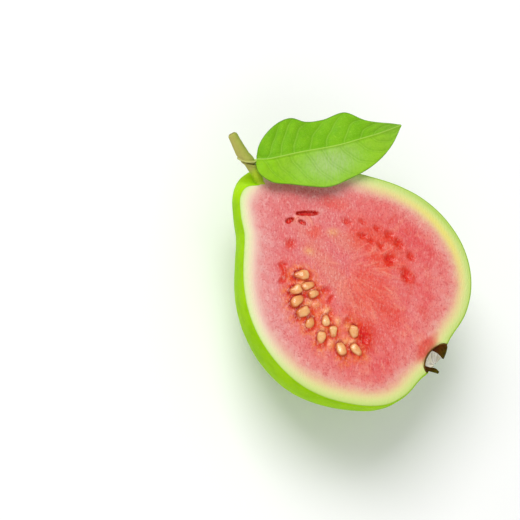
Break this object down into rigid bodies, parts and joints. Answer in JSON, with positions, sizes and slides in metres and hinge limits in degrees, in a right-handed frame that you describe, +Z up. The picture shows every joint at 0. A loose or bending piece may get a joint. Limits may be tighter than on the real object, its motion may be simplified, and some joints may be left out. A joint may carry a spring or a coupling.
{
  "type": "halved guava",
  "caption": "Lengthwise half of a pink guava, cut face up, with seeds in the pulp, a short woody stem, a waved leaf and a dry two-sepal calyx.",
  "frame": {"origin": "a point on the small flat spot on the rounded back that the half rests on, 5 mm from the middle of the spot towards the stalk end", "axes": "+X from the stalk end to the blossom end, +Z straight up out of the cut face, +Y across the cut face towards the leaf's side"},
  "size_m": [0.1031, 0.0909, 0.045],
  "materials": {
    "fruit": "moist pink pulp with cream seeds, pale yellow-green rim and a thin glossy green skin",
    "stem": "olive green twig with a brown ring at its node",
    "leaf": "satin bright green blade with pale veins",
    "calyx": "dry dark brown"
  },
  "bodies": {
    "root": {"guava_half": "fruit", "stem": "stem", "leaf": "leaf", "calyx": "calyx"}
  },
  "joints": []
}
